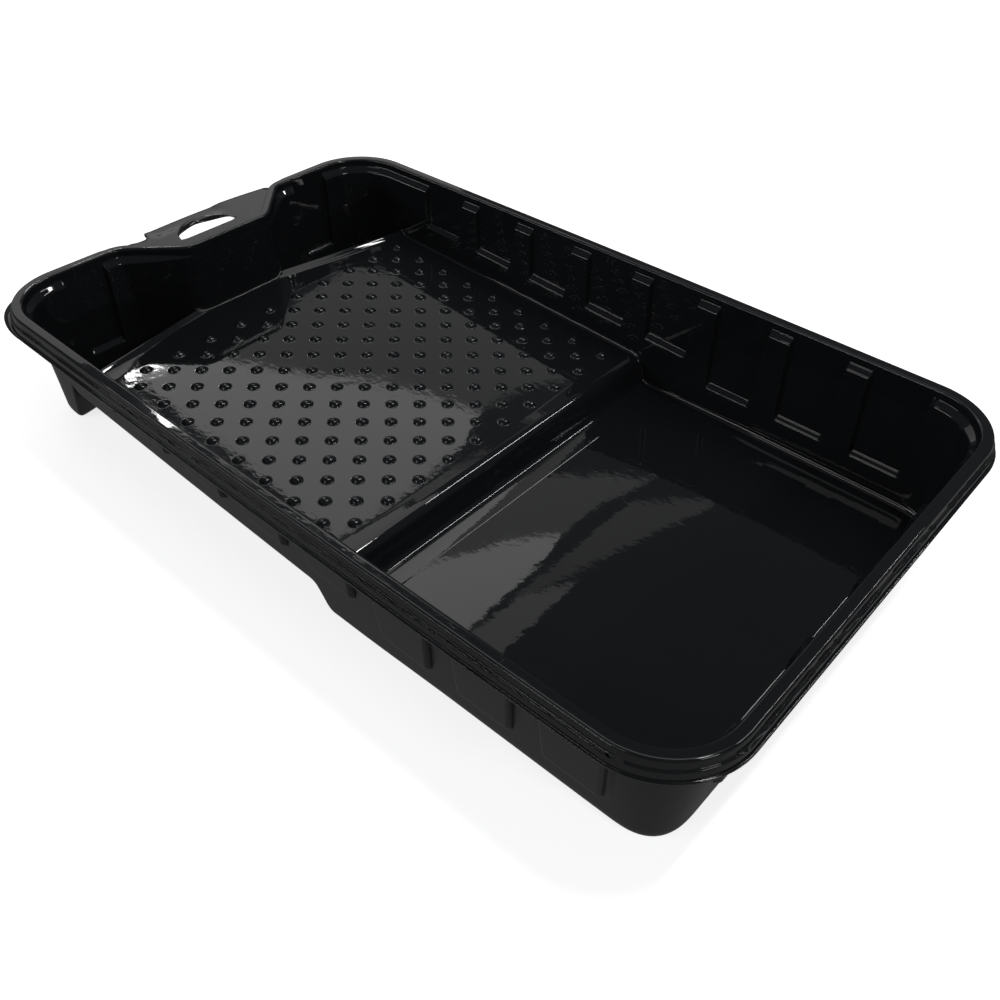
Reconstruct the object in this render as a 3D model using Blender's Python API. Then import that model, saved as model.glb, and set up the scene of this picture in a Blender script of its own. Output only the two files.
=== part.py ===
"""A 9 inch deep-well paint roller tray, formed from one thin sheet of plastic.

Metres, +Z up. +X runs from the hang tab at the head to the deep well, +Y is across the tray,
and the origin is under the middle of the bounding box, on the surface the tray rests on.
Every node is one formed zone of the same sheet: the zones meet at a narrow seam.
"""

import math

import bmesh
import bpy
from mathutils import Vector
from mathutils.geometry import delaunay_2d_cdt

# Sheet
SHEET = 0.0010  # thickness of the formed sheet
SEAM = 0.0003  # clearance between neighbouring zones
STEEP_SEAM = 0.0009  # the same where the bed falls steeply beside the jog

# Plan of the inner lip, where the rim turns down into the walls
LIP_HALF = 0.1285  # half width at the ends of the long sides
LIP_BOW = 0.0111  # share by which the long sides bow outwards at the middle
LIP_DEEP = 0.2227  # lip at the deep end
LIP_HEAD = -0.2160  # lip at the head, either side of the hang tab
JOG_X = -0.1880  # lip behind the hang tab
JOG_OUTER = 0.0575  # half width of the jog where it leaves the head line
JOG_INNER = 0.0290  # half width of the jog where it runs across the tray again
CORNER_R = 0.031
JOG_OUTER_R = 0.0135
JOG_INNER_R = 0.014
CORNER_STEPS = 6
JOG_STEPS = 3
JOG_END = 0.0632  # half width where the jog's outer corner meets the head line
JOG_PLACES = (0.0360, 0.0390, 0.0425, 0.0465)
CUT_HEAD = -0.1600  # the long sides are zones of their own between these two places
CUT_DEEP = LIP_DEEP - CORNER_R

# Heights of the upper surface
LAND_Z = 0.0684  # flat top of the rim
SHELF_TOP_Z = 0.0640
SHELF_Z = 0.0609  # small shelf that ends every rib
WELL_Z = SHEET  # floor of the deep well
LEDGE_WELL_Z = 0.0171  # lower ledge of a panel beside the well
LEDGE_OVER_RAMP = 0.0142  # the same ledge above the line of the ramp
LEDGE_CHANGE_X = 0.0645
RAMP_Z = 0.0168  # ramp height at RAMP_X
RAMP_X = 0.0113
RAMP_SLOPE = 0.0477
TAB_Z = 0.0621  # upper surface of the hang tab

# Rim section as (outset from the lip, drop below the land)
RIM_SECTION = (
    (0.0004, 0.0005),
    (0.0015, 0.0),
    (0.0046, 0.0),
    (0.0055, 0.0008),
    (0.0061, 0.0040),
    (0.0071, 0.0045),
    (0.0076, 0.0078),
    (0.0085, 0.0084),
)
JOG_SECTION = (
    (0.0004, 0.0005),
    (0.0015, 0.0),
    (0.0040, 0.0),
    (0.0049, 0.0008),
    (0.0055, 0.0045),
    (0.0061, 0.0058),
    (0.0070, 0.0063),
    (0.0080, 0.0063),
)

# Walls
WALL_TOP = 0.0018  # top edge of the wall zones below the land
RIB_INSET = 0.0035  # rib face inside the lip, at the shelf
RIB_DRAFT = 0.0775
JOG_INSET = 0.0012  # the same for the wall behind the hang tab
JOG_DRAFT = 0.010
PANEL_INSET = 0.0002
PANEL_DRAFT = 0.070
BASE_R = 0.0026  # fillet at the foot of the walls
JOG_BASE_R = 0.0012
BASE_FLAT = 0.0012  # strip of the bed that belongs to the wall zones
EDGE_RUN = 0.0010  # length of a panel's side slope
PANEL_FLARE = 0.0022  # how much further out a panel's side is at the shelf
LEDGE_HALF = 0.0012
PANEL_W = 0.0252
SIDE_PANELS = 8
SIDE_PITCH = 0.04425
SIDE_FIRST = -0.1346
END_PANELS = 4
END_PITCH = 0.0494
END_PANEL_W = 0.0300
HEAD_PANEL_Y = 0.0815
HEAD_PANEL_W = 0.0220

# Step from the ramp down into the well, as (x, height of the upper surface)
STEP = (
    (0.0225, RAMP_Z - RAMP_SLOPE * (0.0225 - RAMP_X)),
    (0.0258, 0.0154),
    (0.0282, 0.0130),
    (0.0322, 0.0045),
    (0.0352, 0.0019),
    (0.0390, WELL_Z),
    (0.0450, WELL_Z),
)

# Head end of the ramp: a low ridge, and the two feet formed behind it
RIDGE_X = -0.1865  # front of the ridge at the middle of the head
RIDGE_SWEEP = 0.170  # it sweeps forward towards the corners
RIDGE_FLAT = 0.019
RIDGE_RISE = 0.0025
FOOT_PROFILE = (
    (0.0010, 0.0),
    (0.0042, 0.0),
    (0.0053, 0.06),
    (0.0122, 0.90),
    (0.0145, 1.0),
)  # (distance behind the front of the ridge, share of the way down to the foot floor)

# Dimples on the ramp, on a staggered square lattice
DIMPLE_PITCH = 0.01075
DIMPLE_COLS = 10
DIMPLE_ROWS = 17
DIMPLE_R = 0.0034
DIMPLE_TOP_R = 0.0018
DIMPLE_H = 0.0017
DIMPLE_SIDES = 6

# Hang tab: its outer edge and the fold of its dished zone, as (x, y, drop below the plate)
TAB_EDGE = (
    (-0.2290, 0.0575, 0.0),
    (-0.2325, 0.0400, 0.0),
    (-0.2338, 0.0240, 0.0),
    (-0.2344, 0.0160, 0.0015),
    (-0.2346, 0.0, 0.0015),
    (-0.2341, -0.0200, 0.0015),
    (-0.2333, -0.0303, 0.0015),
    (-0.2258, -0.0318, 0.0010),
    (-0.2242, -0.0380, 0.0),
    (-0.2252, -0.0480, 0.0),
)
TAB_FOLD = ((-0.2215, -0.0330), (-0.2205, -0.0235), (-0.2225, 0.0215))
HOLE_BACK = ((-0.2086, -0.0165), (-0.2086, 0.0165))
HOLE_END = (-0.2105, 0.0197)  # rounded end, mirrored
HOLE_ARC = ((-0.2168, 0.0175), (-0.2226, 0.0128), (-0.2268, 0.0066), (-0.2280, 0.0))
HOLE_CHEVRON = ((-0.2143, 0.0166), (-0.2196, 0.0090), (-0.2230, 0.0))  # lower edge
HOLE_TURN = 0.0036  # how far the outer side of the slot turns down

BLACK = (0.012, 0.013, 0.014, 1.0)
GLOSS = 0.12


def smooth(share):
    share = min(1.0, max(0.0, share))
    return share * share * (3 - 2 * share)


def lerp(a, b, share):
    return a + (b - a) * share


def rounded_loop(corners):
    """A closed plan loop through (x, y, radius, steps) corners, each turned into an arc."""
    loop = []
    count = len(corners)
    for i, (x, y, radius, steps) in enumerate(corners):
        here = Vector((x, y))
        back = (Vector(corners[i - 1][:2]) - here).normalized()
        ahead = (Vector(corners[(i + 1) % count][:2]) - here).normalized()
        half = back.angle(ahead) / 2
        reach = radius / math.tan(half)
        start = here + back * reach
        end = here + ahead * reach
        centre = here + (back + ahead).normalized() * (radius / math.sin(half))
        first = math.atan2(start.y - centre.y, start.x - centre.x)
        last = math.atan2(end.y - centre.y, end.x - centre.x)
        turn = (last - first + math.pi) % (2 * math.pi) - math.pi
        for k in range(steps + 1):
            angle = first + turn * k / steps
            loop.append(centre + radius * Vector((math.cos(angle), math.sin(angle))))
    return loop


def bowed(point):
    """The long sides bow outwards a little."""
    share = max(0.0, 1 - ((point.x - 0.003) / 0.215) ** 2)
    return Vector((point.x, point.y * (1 + LIP_BOW * share)))


def lip_loop():
    right = [
        (LIP_DEEP, LIP_HALF, CORNER_R, CORNER_STEPS),
        (LIP_HEAD, LIP_HALF, CORNER_R, CORNER_STEPS),
        (LIP_HEAD, JOG_OUTER, JOG_OUTER_R, JOG_STEPS),
        (JOG_X, JOG_INNER, JOG_INNER_R, JOG_STEPS),
    ]
    left = [(x, -y, radius, steps) for x, y, radius, steps in reversed(right)]
    return rounded_loop(right + left)


def panels_on(side):
    """The panels of one side as (middle, half width) along it."""
    if side == "long":
        return [(SIDE_FIRST + SIDE_PITCH * k, PANEL_W / 2) for k in range(SIDE_PANELS)]
    if side == "deep":
        middle = (END_PANELS - 1) / 2
        return [(END_PITCH * (k - middle), END_PANEL_W / 2) for k in range(END_PANELS)]
    if side == "head":
        return [(sign * HEAD_PANEL_Y, HEAD_PANEL_W / 2) for sign in (-1, 1)]
    return []


def panel_at(side, place):
    """How far a place is on a panel, 0 to 1, and how its upright lines lean, -1 to 1."""
    for middle, half in panels_on(side):
        off = place - middle
        beyond = abs(off) - half
        if beyond < EDGE_RUN + 1e-6:
            share = 1 - min(1.0, max(0.0, beyond / EDGE_RUN))
            return share, max(-1.0, min(1.0, off / half))
    return 0.0, 0.0


def wall_stops():
    """Places where a wall's surface bends: panel sides, the step, the feet and the seams."""
    stops = []
    for side in ("long", "deep", "head"):
        for middle, half in panels_on(side):
            for reach in (half, half + EDGE_RUN):
                stops += [(side, middle - reach), (side, middle + reach)]
    ridge = ridge_x(LIP_HALF - 0.008)
    places = [x for x, _z in STEP]
    places += [ridge + 0.0002, CUT_HEAD]
    places += [ridge - behind for behind, _share in FOOT_PROFILE]
    stops += [("long", x) for x in places]
    return stops + [("jog", sign * y) for y in JOG_PLACES for sign in (-1, 1)]


def rim_stops():
    return [("long", x) for x in (CUT_HEAD, -0.105, -0.05, 0.003, 0.055, 0.11)]


def side_between(here, ahead):
    """The straight side that a stretch of the lip belongs to, and the axis it runs along."""
    middle = (here + ahead) / 2
    if abs(middle.y) > LIP_HALF - 0.0005:
        return "long", 0
    if middle.x > LIP_DEEP - 0.0005:
        return "deep", 1
    if middle.x < LIP_HEAD + 0.0005:
        return "head", 1
    return "jog", 1


class Station:
    """One place on the lip: its point, outward normal, side, panel share and lean."""

    def __init__(self, point, side="", place=0.0):
        self.flat = point
        self.lip = bowed(point)
        self.normal = None
        self.side = side
        self.share, self.lean = panel_at(side, place)


def stations(stops):
    """Lip stations all round, counter-clockwise."""
    loop = lip_loop()
    made = []
    for i, here in enumerate(loop):
        ahead = loop[(i + 1) % len(loop)]
        made.append(Station(here))
        if (ahead - here).length < 0.02:
            continue
        side, axis = side_between(here, ahead)
        run = ahead[axis] - here[axis]
        shares = [(place - here[axis]) / run for kind, place in stops if kind == side]
        for along in sorted(share for share in shares if 0.001 < share < 0.999):
            point = here.lerp(ahead, along)
            if made[-1].side == side and (point - made[-1].flat).length < 0.0004:
                continue
            made.append(Station(point, side, point[axis]))
    for i, station in enumerate(made):
        back = (station.flat - made[i - 1].flat).normalized()
        ahead = (made[(i + 1) % len(made)].flat - station.flat).normalized()
        along = (back + ahead).normalized()
        station.normal = Vector((along.y, -along.x))
    return made


def ramp_z(x):
    return RAMP_Z - RAMP_SLOPE * (x - RAMP_X)


def profile_at(profile, place):
    """Straight-line reading of a (place, value) profile, held level past its ends."""
    if place <= profile[0][0]:
        return profile[0][1]
    for (x0, z0), (x1, z1) in zip(profile, profile[1:]):
        if place <= x1:
            return lerp(z0, z1, (place - x0) / (x1 - x0))
    return profile[-1][1]


def ground_z(x):
    """Ramp, step and well floor along the tray."""
    return ramp_z(x) if x <= STEP[0][0] else profile_at(STEP, x)


def ridge_x(y):
    return RIDGE_X + RIDGE_SWEEP * max(0.0, abs(y) - RIDGE_FLAT)


def bed_z(point):
    """Height of the bed of the tray."""
    behind = ridge_x(point.y) - point.x
    if behind <= 0:
        return ground_z(point.x)
    front = ramp_z(ridge_x(point.y))
    if behind < FOOT_PROFILE[0][0]:
        return front + RIDGE_RISE * behind / FOOT_PROFILE[0][0]
    return lerp(front + RIDGE_RISE, WELL_Z, profile_at(FOOT_PROFILE, behind))


def jog_share(lip):
    """1 on the wall behind the hang tab, 0 on every other wall."""
    if lip.x > CUT_HEAD or abs(lip.y) > JOG_OUTER + JOG_OUTER_R:
        return 0.0
    return 1 - smooth((abs(lip.y) - 0.028) / 0.033)


def rib_inset(z, jog=0.0):
    plain = RIB_INSET + RIB_DRAFT * (SHELF_Z - z)
    return lerp(plain, JOG_INSET + JOG_DRAFT * (SHELF_Z - z), jog)


def ledge_z(station):
    if station.side == "long" and station.lip.x < LEDGE_CHANGE_X:
        return ramp_z(station.lip.x) + LEDGE_OVER_RAMP
    return LEDGE_WELL_Z


def wall_column(station):
    """Inner surface of the wall at one station, from below the lip down to the bed."""
    lip = station.lip
    jog = jog_share(lip)
    fillet = lerp(BASE_R, JOG_BASE_R, jog)
    base = 0.02
    for _turn in range(3):
        foot = rib_inset(base + fillet, jog)
        base = bed_z(lip - station.normal * (foot + fillet))
    ledge = max(ledge_z(station), base + fillet + 2 * LEDGE_HALF)
    rows = [(PANEL_INSET, LAND_Z - WALL_TOP), (PANEL_INSET + 0.0002, SHELF_TOP_Z)]
    for z, raised in ((SHELF_Z, 1), (ledge + LEDGE_HALF, 1), (ledge - LEDGE_HALF, 0)):
        panel = PANEL_INSET + PANEL_DRAFT * (LAND_Z - z)
        rows.append((lerp(rib_inset(z, jog), panel, station.share * raised), z))
    rows.append((foot, base + fillet))
    rows.append((foot + 0.3 * fillet, base + 0.3 * fillet))
    rows.append((foot + fillet, base))
    column = []
    tangent = Vector((-station.normal.y, station.normal.x))
    if tangent[0 if station.side == "long" else 1] < 0:
        tangent.negate()
    for inset, z in rows:
        high = min(1.0, max(0.0, (z - ledge) / (SHELF_Z - ledge)))
        place = lip - station.normal * inset + tangent * station.lean * PANEL_FLARE * high
        column.append((place.x, place.y, z))
    last = lip - station.normal * (foot + fillet + BASE_FLAT)
    column.append((last.x, last.y, bed_z(last)))
    return column


def rim_column(station):
    lip = station.lip
    blend = 1.0
    if lip.x < CUT_HEAD:
        blend = smooth((abs(lip.y) - JOG_END) / 0.004)
    column = []
    for (out0, drop0), (out1, drop1) in zip(JOG_SECTION, RIM_SECTION):
        place = lip + station.normal * lerp(out0, out1, blend)
        column.append((place.x, place.y, LAND_Z - lerp(drop0, drop1, blend)))
    return column


def material(name):
    made = bpy.data.materials.new(name)
    made.use_nodes = True
    shader = made.node_tree.nodes["Principled BSDF"]
    shader.inputs["Base Color"].default_value = BLACK
    shader.inputs["Roughness"].default_value = GLOSS
    return made


def add_shell(name, points, faces):
    """A closed shell one sheet thick under a surface given by points and upward faces."""
    body = bmesh.new()
    front = [body.verts.new(p) for p in points]
    for face in faces:
        body.faces.new([front[k] for k in face])
    body.normal_update()
    back = [body.verts.new(vert.co - vert.normal * SHEET) for vert in front]
    edges = set()
    for face in faces:
        body.faces.new([back[k] for k in reversed(face)])
        edges.update(zip(face, face[1:] + face[:1]))
    for a, b in sorted(edges):
        if (b, a) not in edges:
            body.faces.new((front[b], front[a], back[a], back[b]))
    finish(name, body)


def finish(name, body):
    bmesh.ops.recalc_face_normals(body, faces=body.faces)
    mesh = bpy.data.meshes.new(name)
    body.to_mesh(mesh)
    body.free()
    mesh.materials.append(material(name))
    bpy.context.scene.collection.objects.link(bpy.data.objects.new(name, mesh))


def add_grid(name, columns):
    """A shell whose visible face is a grid: columns of points, going round the tray."""
    rows = len(columns[0])
    points = [p for column in columns for p in column]
    faces = []
    for i in range(len(columns) - 1):
        for j in range(rows - 1):
            a = i * rows + j
            faces.append([a, a + rows, a + rows + 1, a + 1])
    add_shell(name, points, faces)


def parted(columns):
    """Pull both ends of a run of columns back by half a seam."""
    made = list(columns)
    for here, ahead in ((0, 1), (len(columns) - 1, len(columns) - 2)):
        moved = []
        for a, b in zip(columns[here], columns[ahead]):
            step = (Vector(b) - Vector(a)).normalized() * (SEAM / 2)
            moved.append(tuple(Vector(a) + step))
        made[here] = moved
    return made


def clipped(loop, keep):
    """The part of a closed plan loop where keep is positive."""
    made = []
    for i, here in enumerate(loop):
        before = loop[i - 1]
        a, b = keep(before), keep(here)
        if (a > 0) != (b > 0):
            made.append(before.lerp(here, a / (a - b)))
        if b > 0:
            made.append(here)
    return made


def meshed(outline, lines):
    """Triangles of a plan: the inside of its outline, with extra lines to keep as edges."""
    points = list(outline)
    edges = []
    for line in lines:
        first = len(points)
        points += [Vector(p) for p in line]
        edges += [(k, k + 1) for k in range(first, len(points) - 1)]
    made = delaunay_2d_cdt(points, edges, [list(range(len(outline)))], 1, 1e-7)
    return [Vector(v) for v in made[0]], [list(f) for f in made[2]], made[3]


def add_bed(name, outline, lines=()):
    """A zone of the bed of the tray."""
    plan, faces, _source = meshed(outline, lines)
    points = [(p.x, p.y, bed_z(p)) for p in plan]
    add_shell(name, points, faces)


def add_step(base):
    """The step from the ramp down to the well floor, as a grid from side to side."""
    outline = clipped(base, lambda p: p.x - STEP[0][0] - SEAM / 2)
    outline = clipped(outline, lambda p: STEP[-1][0] - SEAM / 2 - p.x)
    places = [STEP[0][0] + SEAM / 2, *[x for x, _z in STEP[1:-1]], STEP[-1][0] - SEAM / 2]
    columns = []
    for share in (-1, -0.5, 0, 0.5, 1):
        line = [(x, share * edge_y(outline, x), ground_z(x)) for x in places]
        columns.append(line)
    add_grid("ramp_step", [list(reversed(column)) for column in reversed(columns)])


def edge_y(outline, x):
    """Half width of an outline at x."""
    for i, here in enumerate(outline):
        before = outline[i - 1]
        if here.y < 0 or before.y < 0 or abs(here.x - before.x) < 1e-6:
            continue
        low, high = sorted((here.x, before.x))
        if low - 1e-7 <= x <= high + 1e-7:
            return lerp(before.y, here.y, (x - before.x) / (here.x - before.x))
    return max(p.y for p in outline)


def add_foot(name, base, sign):
    outline = clipped(base, lambda p: p.y * sign - 0.001)
    outline = clipped(outline, lambda p: ridge_x(p.y) - SEAM / 2 - p.x)
    lines = []
    for behind, _share in FOOT_PROFILE:
        line = []
        for y in (RIDGE_FLAT, 0.2):
            line.append((ridge_x(y) - behind, y * sign))
        lines.append(line)
    add_bed(name, outline, lines_inside(outline, lines))


def lines_inside(outline, lines):
    """Cut straight lines back to the part that lies inside an outline."""
    kept = []
    for start, end in lines:
        a, b = Vector(start), Vector(end)
        found = []
        for i, here in enumerate(outline):
            before = outline[i - 1]
            edge = here - before
            run = b - a
            cross = run.x * edge.y - run.y * edge.x
            if abs(cross) < 1e-14:
                continue
            gap = before - a
            t = (gap.x * edge.y - gap.y * edge.x) / cross
            s = (gap.x * run.y - gap.y * run.x) / cross
            if 0 <= s < 1 and 0 <= t <= 1:
                found.append(t)
        found.sort()
        margin = 0.0012 / (b - a).length
        for t0, t1 in zip(found[::2], found[1::2]):
            if t1 - t0 > 3 * margin:
                kept.append((a.lerp(b, t0 + margin), a.lerp(b, t1 - margin)))
    return kept


def dimple_centres():
    centres = []
    for i in range(1 - DIMPLE_ROWS, 1):
        for j in range(-DIMPLE_COLS, DIMPLE_COLS + 1):
            x = RAMP_X + i * DIMPLE_PITCH
            y = j * DIMPLE_PITCH
            if (i + j) % 2 == 0 and x - DIMPLE_R > ridge_x(y) + 0.003:
                centres.append((x, y))
    return centres


def add_ramp(base):
    """The rolling ramp with its dimples, which are hollow underneath."""
    outline = clipped(base, lambda p: p.x - ridge_x(p.y) - SEAM / 2)
    outline = clipped(outline, lambda p: STEP[0][0] - SEAM / 2 - p.x)
    rings = []
    for x, y in dimple_centres():
        for radius in (DIMPLE_R, DIMPLE_TOP_R):
            ring = []
            for k in range(DIMPLE_SIDES + 1):
                angle = 2 * math.pi * (k % DIMPLE_SIDES + 0.5) / DIMPLE_SIDES
                ring.append((x + radius * math.cos(angle), y + radius * math.sin(angle)))
            rings.append(ring)
    plan, faces, source = meshed(outline, rings)
    points = []
    for p, origin in zip(plan, source):
        ring = -1
        if origin and origin[0] >= len(outline):
            ring = (origin[0] - len(outline)) // (DIMPLE_SIDES + 1)
        rise = DIMPLE_H if ring % 2 == 1 and ring > 0 else 0.0
        points.append((p.x, p.y, ramp_z(p.x) + rise))
    add_shell("rolling_ramp", points, faces)


def add_tab(ring):
    """The hang tab: a plate outside the jog, with a hand slot whose outer side turns down."""
    inner = []
    for station in ring:
        if station.lip.x < CUT_HEAD and abs(station.lip.y) < JOG_END:
            place = station.lip + station.normal * (JOG_SECTION[-1][0] + SEAM)
            inner.append((place.x, place.y, 0.0))
    inner.sort(key=lambda p: p[1])
    outline = inner + list(TAB_EDGE)
    arc = [(*HOLE_END, 0.0)]
    arc += [(x, y, 0.0) for x, y in HOLE_ARC]
    arc += [(x, -y, 0.0) for x, y in reversed(HOLE_ARC[:-1])]
    arc.append((HOLE_END[0], -HOLE_END[1], 0.0))
    chevron = [(x, y, HOLE_TURN) for x, y in HOLE_CHEVRON]
    chevron += [(x, -y, HOLE_TURN) for x, y in reversed(HOLE_CHEVRON[:-1])]
    back = [(x, y, 0.0) for x, y in HOLE_BACK]
    fold = [(x, y, 0.0) for x, y in TAB_FOLD]
    points = outline + arc + chevron + back + fold
    first_arc = len(outline)
    first_low = first_arc + len(arc)
    first_back = first_low + len(chevron)
    hole = [first_arc, *range(first_low, first_back), first_low - 1, first_back, first_back + 1]
    arc_line = [(k, k + 1) for k in range(first_arc, first_low - 1)]
    flat = [Vector(p[:2]) for p in points]
    loops = [list(range(first_arc)), hole]
    made = delaunay_2d_cdt(flat, arc_line, loops, 1, 1e-7)
    faces = [list(f) for f, source in zip(made[2], made[5]) if 1 not in source]
    drops = [max(points[k][2] for k in source) for source in made[3]]
    surface = [(p.x, p.y, TAB_Z - drop) for p, drop in zip(made[0], drops)]
    add_shell("hang_tab", surface, faces)


def run_of(ring, first, last):
    """Stations from one place on the ring round to another."""

    def nearest(place):
        gaps = [(station.flat - Vector(place)).length for station in ring]
        return gaps.index(min(gaps))

    start = nearest(first)
    count = (nearest(last) - start) % len(ring)
    return [ring[(start + k) % len(ring)] for k in range(count + 1)]


def main():
    for old in list(bpy.data.objects):
        bpy.data.objects.remove(old, do_unlink=True)

    deep_right = (CUT_DEEP, LIP_HALF)
    head_right = (CUT_HEAD, LIP_HALF)
    head_left = (CUT_HEAD, -LIP_HALF)
    deep_left = (CUT_DEEP, -LIP_HALF)
    runs = (
        ("right", deep_right, head_right),
        ("head", head_right, head_left),
        ("left", head_left, deep_left),
        ("deep_end", deep_left, deep_right),
    )
    wall_ring = stations(wall_stops())
    rim_ring = stations(rim_stops())
    for name, first, last in runs:
        wall = [wall_column(s) for s in run_of(wall_ring, first, last)]
        add_grid(name + "_wall", parted(wall))
        rim = [rim_column(s) for s in run_of(rim_ring, first, last)]
        add_grid(name + "_rim", parted([list(reversed(c)) for c in rim]))

    base = []
    for station in wall_ring:
        inner = Vector(wall_column(station)[-1][:2])
        sloping = 0.0 < jog_share(station.lip) < 1.0
        base.append(inner - station.normal * (STEEP_SEAM if sloping else SEAM))
    add_ramp(base)
    add_step(base)
    add_bed("well_floor", clipped(base, lambda p: p.x - STEP[-1][0] - SEAM / 2))
    add_foot("right_foot", base, 1)
    add_foot("left_foot", base, -1)
    add_tab(rim_ring)


main()
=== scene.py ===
"""Looks of a 9 inch deep-well paint roller tray: one thin formed sheet of glossy black plastic.

The sheet is one continuous mesh. Its rim and walls are a grid of sections that runs round the
lip, its bed fills the inside of that grid, and the hang tab grows out of the rim at the head.
"""

import math

import bpy
import numpy as np
from mathutils import Matrix, Vector
from mathutils.geometry import delaunay_2d_cdt


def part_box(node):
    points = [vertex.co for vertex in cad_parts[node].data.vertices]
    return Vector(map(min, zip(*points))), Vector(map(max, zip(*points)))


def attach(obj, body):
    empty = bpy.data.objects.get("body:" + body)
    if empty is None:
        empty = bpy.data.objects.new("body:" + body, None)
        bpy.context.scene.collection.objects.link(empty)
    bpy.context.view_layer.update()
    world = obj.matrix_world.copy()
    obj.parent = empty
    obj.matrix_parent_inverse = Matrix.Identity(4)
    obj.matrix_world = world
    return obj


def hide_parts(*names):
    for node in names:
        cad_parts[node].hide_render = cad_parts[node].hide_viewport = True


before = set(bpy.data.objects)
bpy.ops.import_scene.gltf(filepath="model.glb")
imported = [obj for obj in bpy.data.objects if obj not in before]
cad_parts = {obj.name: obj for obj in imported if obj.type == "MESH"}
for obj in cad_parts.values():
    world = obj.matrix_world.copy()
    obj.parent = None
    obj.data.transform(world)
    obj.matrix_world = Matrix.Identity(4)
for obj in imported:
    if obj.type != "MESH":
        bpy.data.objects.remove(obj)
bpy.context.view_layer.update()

ZONES = tuple(sorted(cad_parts))

# Plan of the lip, and levels. Overall sizes are read from the frame
RIM_OUT = 0.0085  # reach of the rim outside the lip
LIP_BOW = 0.0111  # share by which the long sides bow outwards at the middle
CORNER_R = 0.031
CORNER_STEPS = 20
RIM_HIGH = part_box("deep_end_rim")[1]
LAND_Z = RIM_HIGH.z
LIP_DEEP = RIM_HIGH.x - RIM_OUT
LIP_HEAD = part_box("head_rim")[0].x + RIM_OUT
CUT_DEEP = LIP_DEEP - CORNER_R
BOW_MIDDLE = 0.003
BOW_REACH = 0.215
LIP_HALF = (RIM_HIGH.y - RIM_OUT) / (1 + LIP_BOW * (1 - ((CUT_DEEP - BOW_MIDDLE) / BOW_REACH) ** 2))
WELL_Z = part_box("well_floor")[1].z
TAB_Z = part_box("hang_tab")[1].z
TAB_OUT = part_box("hang_tab")[0].x
INTO_SEAM = 0.0002
STEP_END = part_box("ramp_step")[1].x + INTO_SEAM

SHEET = 0.0009  # thickness of the sheet

# Lip behind the hang tab
JOG_X = -0.1880
JOG_OUTER = 0.0575
JOG_INNER = 0.0290
JOG_OUTER_R = 0.0135
JOG_INNER_R = 0.012
JOG_STEPS = 9
JOG_END = 0.0632
JOG_FULL = 0.028  # half width over which its wall is steepest
JOG_FADE = 0.033
CUT_HEAD = -0.1600  # only the head lies below this x

# Rim sections from the trimmed edge in to the lip: (outset, drop below the land, reach, steps)
RIM_CORNERS = (
    (0.0086, 0.0084, 0, 0),
    (0.00775, 0.0084, 0.0004, 3),
    (0.0072, 0.0043, 0.0006, 4),
    (0.00625, 0.0040, 0.0004, 3),
    (0.0056, 0.0, 0.0011, 6),
    (-0.0001, 0.0, 0.0015, 7),
)
JOG_CORNERS = (
    (0.0080, 0.0063, 0, 0),
    (0.0074, 0.0063, 0.0004, 3),
    (0.0064, 0.0063, 0.0006, 4),
    (0.0056, 0.0046, 0.0006, 3),
    (0.0049, 0.0, 0.0011, 6),
    (-0.0001, 0.0, 0.0015, 7),
)

FLANGE_WIDE = 0.0042  # the trimmed flange is wider at one head corner
FLANGE_WAY = Vector((-0.80, -0.60))
RIM_CHANGE = 0.004  # run over which the rim changes into the edge of the tab

# Walls
SHELF_TOP_Z = LAND_Z - 0.0045
SHELF_Z = LAND_Z - 0.0075
RIB_INSET = 0.0035
RIB_DRAFT = 0.0775
CORNER_EASE = 0.040  # the main corners are drafted less
JOG_INSET = 0.0012
JOG_DRAFT = 0.010
PANEL_TOP_Z = LAND_Z - 0.0006
PANEL_INSET = 0.0001
PANEL_DRAFT = 0.084
LEDGE_HALF = 0.0012  # half the height of the ledge at the foot of a panel
LEDGE_WELL_Z = 0.0171
LEDGE_OVER_RAMP = 0.0142
LEDGE_CHANGE_X = 0.0645
PANEL_FLARE = 0.0026  # how much further each side of a panel leans out at its top
PANEL_EDGE = 0.0015
LEAN_FADE = 0.010
LAND_EDGE = 0.0004  # the sides of the panels stop leaning this far below the land
LAND_FADE = 0.0035
LIP_MARGIN = 0.0002  # they lean only inside the lip, with this margin
SHELF_EASE = 0.0008
RIB_EASE = 0.0010
CREASE_EASE = 0.0011
BASE_R = 0.0030
BASE_R_WELL = 0.0060
BASE_R_JOG = 0.0012
BASE_SWELL_X = 0.050  # from here the fillet of the base grows towards the deep end
BASE_SWELL_RUN = 0.065
BED_STRIP = 0.0008  # strip of the bed in each section
PANEL_W = 0.0252
SIDE_PANELS = 8
SIDE_PITCH = 0.04425
SIDE_FIRST = -0.1346
END_PANELS = 4
END_PITCH = 0.0494
END_PANEL_W = 0.0300
HEAD_PANEL_Y = 0.0815
HEAD_PANEL_W = 0.0190
STATION_GAP = 0.0065
SIDE_SLACK = 0.0005
STRAIGHT_MIN = 0.0155  # shorter runs of the lip are parts of its arcs
STOP_GAP = 0.00009
STOP_END_GAP = 0.0003

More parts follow.
